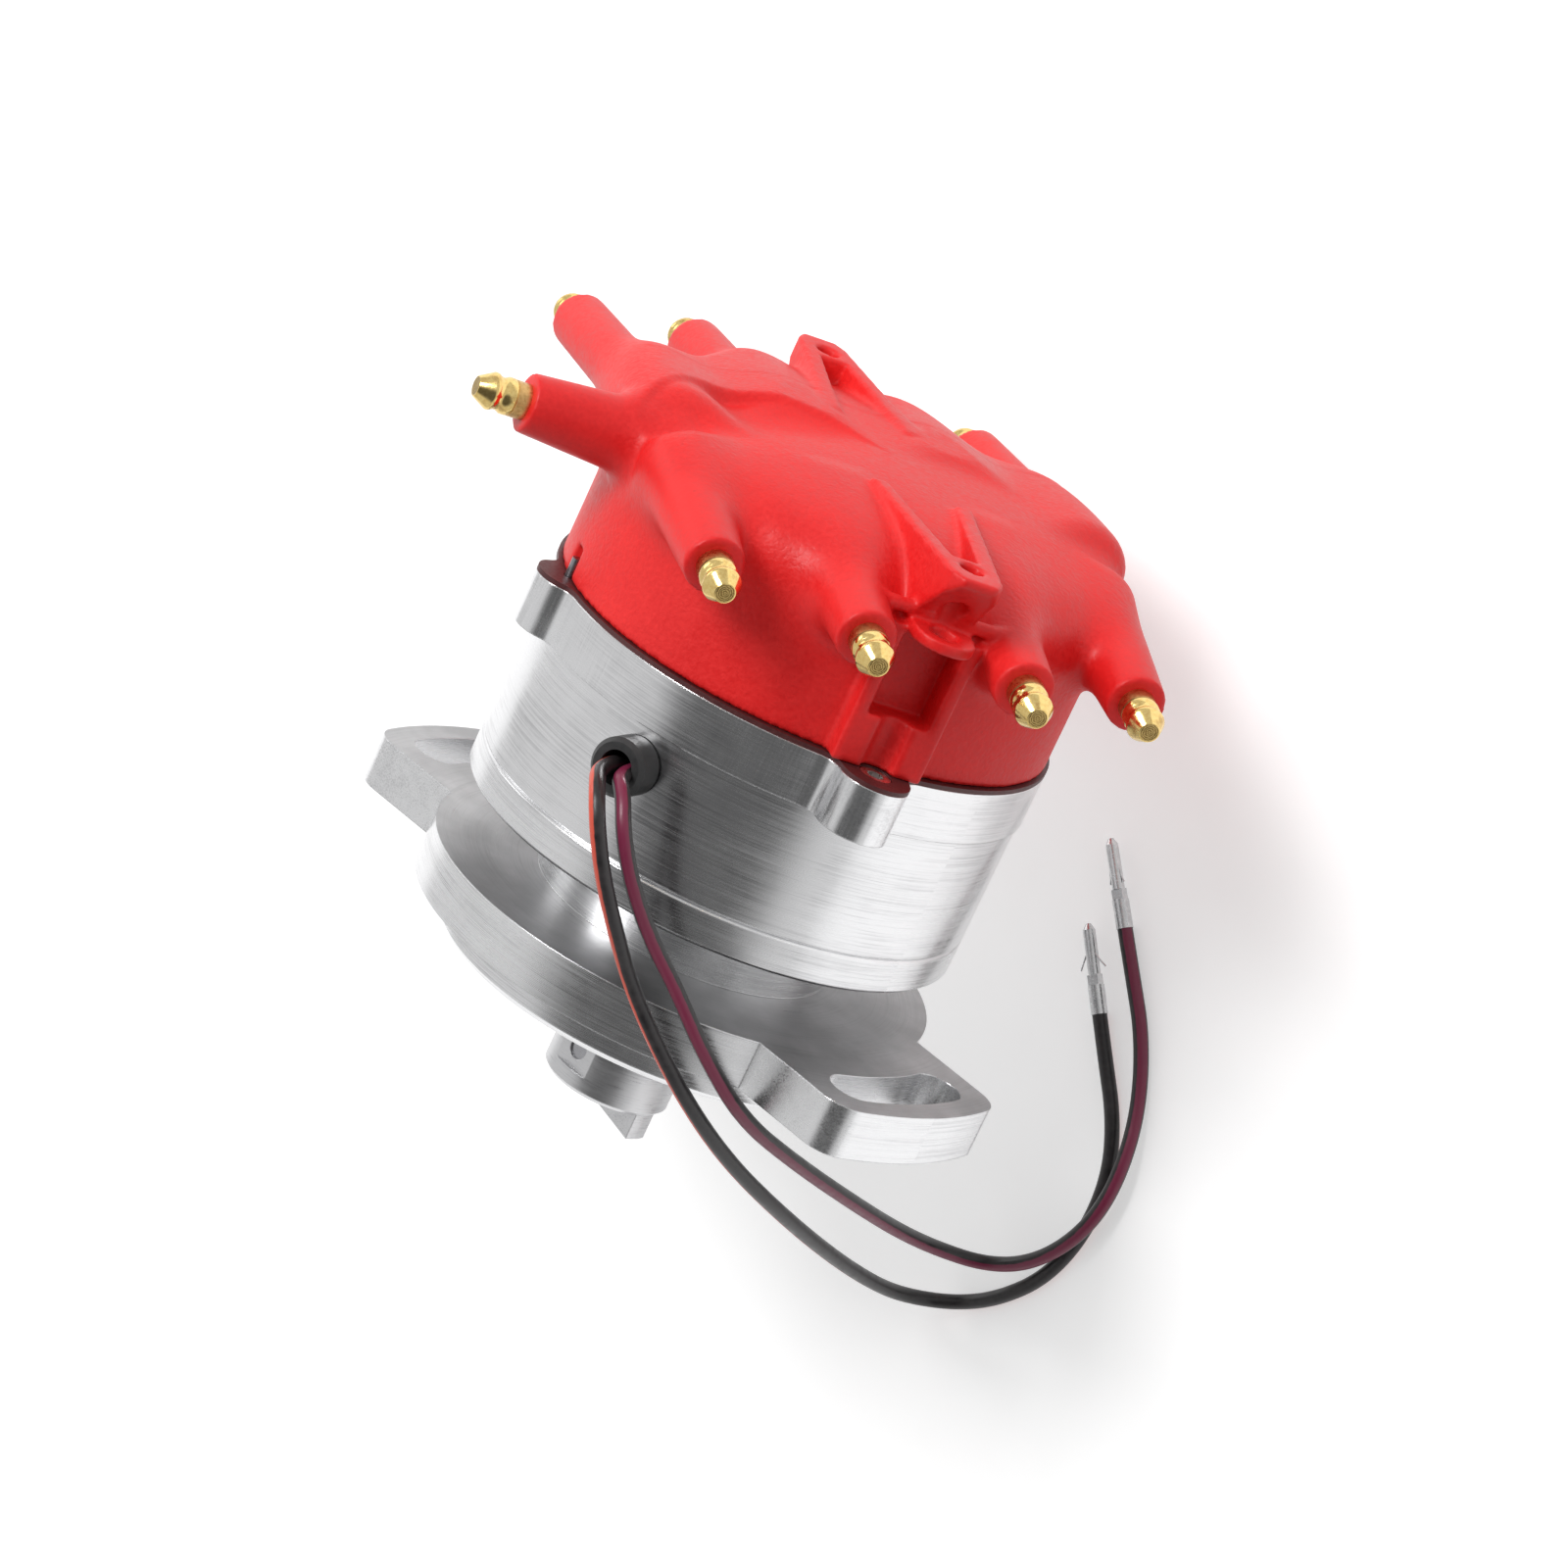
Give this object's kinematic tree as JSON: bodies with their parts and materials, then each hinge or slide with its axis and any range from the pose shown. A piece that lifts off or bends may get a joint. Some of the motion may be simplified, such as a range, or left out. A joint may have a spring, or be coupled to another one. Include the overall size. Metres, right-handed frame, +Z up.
{
  "type": "ignition distributor",
  "caption": "Front-mounted billet ignition distributor: slotted flange, crab cap with plug towers, magnetic pickup, weight advance.",
  "frame": {"origin": "centre of the flange's mounting face, on the shaft axis", "axes": "Y along the shaft, the drive towards +Y and the cap towards -Y; X along the line of the two slotted ears; +Z up as installed"},
  "size_m": [0.1553, 0.1566, 0.1429],
  "materials": {
    "billet_aluminium": "machined",
    "cap_red": "satin moulded",
    "adapter_dark": "satin",
    "brass": "polished",
    "steel": "turned",
    "hardened_steel": "ground",
    "zinc_steel": "zinc plated",
    "spring_steel": "drawn",
    "bronze": "sintered",
    "black_rubber": "matt",
    "black_plastic": "moulded",
    "carbon": "sintered",
    "lead_insulation": "satin",
    "tin_plated": "tin plated"
  },
  "bodies": {
    "housing": {"mounting_flange": "billet_aluminium", "bowl_base": "billet_aluminium", "bowl": "billet_aluminium", "cap_gasket": "adapter_dark", "locating_pin": "hardened_steel", "distributor_cap": "cap_red", "plug_terminals": "brass", "coil_terminal": "brass", "cap_electrodes": "brass", "coil_conductor": "brass", "cap_screws": "zinc_steel", "base_screws": "zinc_steel", "lower_bush": "bronze", "oil_seal": "black_rubber", "bearing_outer": "hardened_steel", "wire_grommet": "black_rubber", "lead_1": "lead_insulation", "lead_2": "lead_insulation", "lead_pin_1": "tin_plated", "lead_pin_2": "tin_plated", "pickup_bracket": "zinc_steel", "pickup_body": "black_plastic", "pickup_pole": "steel", "pickup_magnet": "hardened_steel", "pickup_screws": "zinc_steel", "carbon_brush": "carbon", "brush_spring": "spring_steel"},
    "drive": {"main_shaft": "steel", "drive_coupling": "steel", "coupling_pin": "hardened_steel", "thrust_washer": "bronze", "sleeve_washer": "bronze", "shaft_clip": "spring_steel", "bearing_inner": "hardened_steel", "advance_cam": "hardened_steel"},
    "ball_set": {"bearing_balls": "hardened_steel", "bearing_cage": "bronze"},
    "trigger": {"trigger_sleeve": "steel", "reluctor": "steel", "weight_plate": "zinc_steel", "weight_pins": "hardened_steel", "rotor": "cap_red", "rotor_blade": "brass", "rotor_screws": "zinc_steel", "blade_screw": "zinc_steel", "advance_spring_1": "spring_steel", "advance_spring_2": "spring_steel"},
    "flyweight_1": {"weight_1": "hardened_steel"},
    "flyweight_2": {"weight_2": "hardened_steel"}
  },
  "joints": [
    {"name": "drive_spin", "type": "hinge", "parent": "housing", "child": "drive", "pos_m": [0, 0, 0], "axis": [0, 1, 0], "continuous": true},
    {"name": "bearing_spin", "type": "hinge", "parent": "housing", "child": "ball_set", "pos_m": [0, -0.018, 0], "axis": [0, 1, 0], "continuous": true},
    {"name": "advance", "type": "hinge", "parent": "drive", "child": "trigger", "pos_m": [0, 0, 0], "axis": [0, -1, 0], "range_deg": [0, 12], "stiffness_Nm_per_rad": 0.3, "springref_deg": -11.46},
    {"name": "weight_swing_1", "type": "hinge", "parent": "trigger", "child": "flyweight_1", "pos_m": [0.02255, 0, 0.00821], "axis": [0, 1, 0], "range_deg": [0, 22]},
    {"name": "weight_swing_2", "type": "hinge", "parent": "trigger", "child": "flyweight_2", "pos_m": [-0.02255, 0, -0.00821], "axis": [0, 1, 0], "range_deg": [0, 22]}
  ],
  "couplings": [
    {"joint": "bearing_spin", "follows": "drive_spin", "ratio": 0.4025},
    {"joint": "weight_swing_1", "follows": "advance", "ratio": 1.8333},
    {"joint": "weight_swing_2", "follows": "advance", "ratio": 1.8333}
  ]
}
